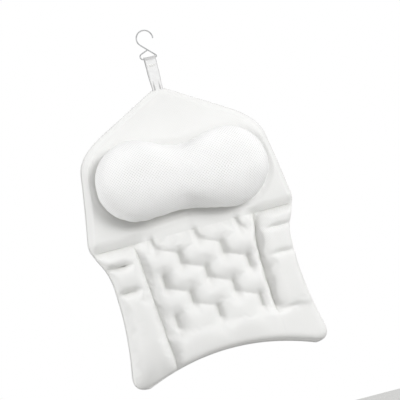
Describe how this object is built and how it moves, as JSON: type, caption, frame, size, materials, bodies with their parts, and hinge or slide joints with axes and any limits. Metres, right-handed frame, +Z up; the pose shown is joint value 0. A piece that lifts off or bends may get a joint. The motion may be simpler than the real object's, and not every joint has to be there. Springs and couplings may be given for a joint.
{
  "type": "bath pillow",
  "caption": "Padded mesh bath pillow with a kidney-shaped head cushion, a tufted lumbar panel between bolsters, suction cups behind and a hanging strap with a wire hook.",
  "frame": {"origin": "inside top of the hook's bend, where it hangs on a rail", "axes": "+Z up as it hangs, -Y the way the front faces, +X to the right as seen from the front; the pillow leans back 5.7 degrees about X, as it hangs in balance"},
  "size_m": [0.4101, 0.1428, 0.6552],
  "materials": {
    "polished_wire": "polished steel wire",
    "webbing": "woven polyester webbing",
    "air_mesh": "white spacer mesh, smooth face",
    "cushion_mesh": "white spacer mesh with an open diamond face",
    "fibre_fill": "polyester fibre",
    "clear_vinyl": "clear soft vinyl",
    "eyelet_plastic": "white moulded plastic"
  },
  "bodies": {
    "hook": {"hook": "polished_wire"},
    "strap": {"hanging_strap": "webbing"},
    "head_panel": {"head_front_panel": "air_mesh", "head_wadding": "fibre_fill", "head_back_panel": "air_mesh", "head_cushion_cover": "cushion_mesh", "head_cushion_fill": "fibre_fill", "cup_eyelet_1": "eyelet_plastic", "cup_eyelet_2": "eyelet_plastic", "cup_eyelet_3": "eyelet_plastic"},
    "lumbar_panel": {"lumbar_quilt_cover": "air_mesh", "lumbar_batting": "fibre_fill", "left_bolster_cover": "air_mesh", "left_bolster_fill": "fibre_fill", "right_bolster_cover": "air_mesh", "right_bolster_fill": "fibre_fill", "lumbar_back_panel": "air_mesh", "cup_eyelet_4": "eyelet_plastic", "cup_eyelet_5": "eyelet_plastic", "cup_eyelet_6": "eyelet_plastic", "cup_eyelet_7": "eyelet_plastic"},
    "cup_1": {"suction_cup_1": "clear_vinyl"},
    "cup_2": {"suction_cup_2": "clear_vinyl"},
    "cup_3": {"suction_cup_3": "clear_vinyl"},
    "cup_4": {"suction_cup_4": "clear_vinyl"},
    "cup_5": {"suction_cup_5": "clear_vinyl"},
    "cup_6": {"suction_cup_6": "clear_vinyl"},
    "cup_7": {"suction_cup_7": "clear_vinyl"}
  },
  "joints": [
    {"name": "strap_on_bar", "type": "hinge", "parent": "hook", "child": "strap", "pos_m": [0, 0, -0.0532], "axis": [1, 0, 0], "range_deg": [-110, 110]},
    {"name": "apex_seam", "type": "hinge", "parent": "strap", "child": "head_panel", "pos_m": [0, 0, -0.1137], "axis": [1, 0, 0], "range_deg": [-90, 90]},
    {"name": "cross_seam", "type": "hinge", "parent": "head_panel", "child": "lumbar_panel", "pos_m": [0.0045, 0.02695, -0.38376], "axis": [0.9997, -0.0024, 0.0243], "range_deg": [-60, 85], "stiffness_Nm_per_rad": 0.8},
    {"name": "cup_1_play", "type": "slide", "parent": "head_panel", "child": "cup_1", "axis": [0, -0.9951, -0.0993], "range_m": [0, 0.0025]},
    {"name": "cup_2_play", "type": "slide", "parent": "head_panel", "child": "cup_2", "axis": [0, -0.9951, -0.0993], "range_m": [0, 0.0025]},
    {"name": "cup_3_play", "type": "slide", "parent": "head_panel", "child": "cup_3", "axis": [0, -0.9951, -0.0993], "range_m": [0, 0.0025]},
    {"name": "cup_4_play", "type": "slide", "parent": "lumbar_panel", "child": "cup_4", "axis": [0, -0.9951, -0.0993], "range_m": [0, 0.0025]},
    {"name": "cup_5_play", "type": "slide", "parent": "lumbar_panel", "child": "cup_5", "axis": [0, -0.9951, -0.0993], "range_m": [0, 0.0025]},
    {"name": "cup_6_play", "type": "slide", "parent": "lumbar_panel", "child": "cup_6", "axis": [0, -0.9951, -0.0993], "range_m": [0, 0.0025]},
    {"name": "cup_7_play", "type": "slide", "parent": "lumbar_panel", "child": "cup_7", "axis": [0, -0.9951, -0.0993], "range_m": [0, 0.0025]}
  ]
}
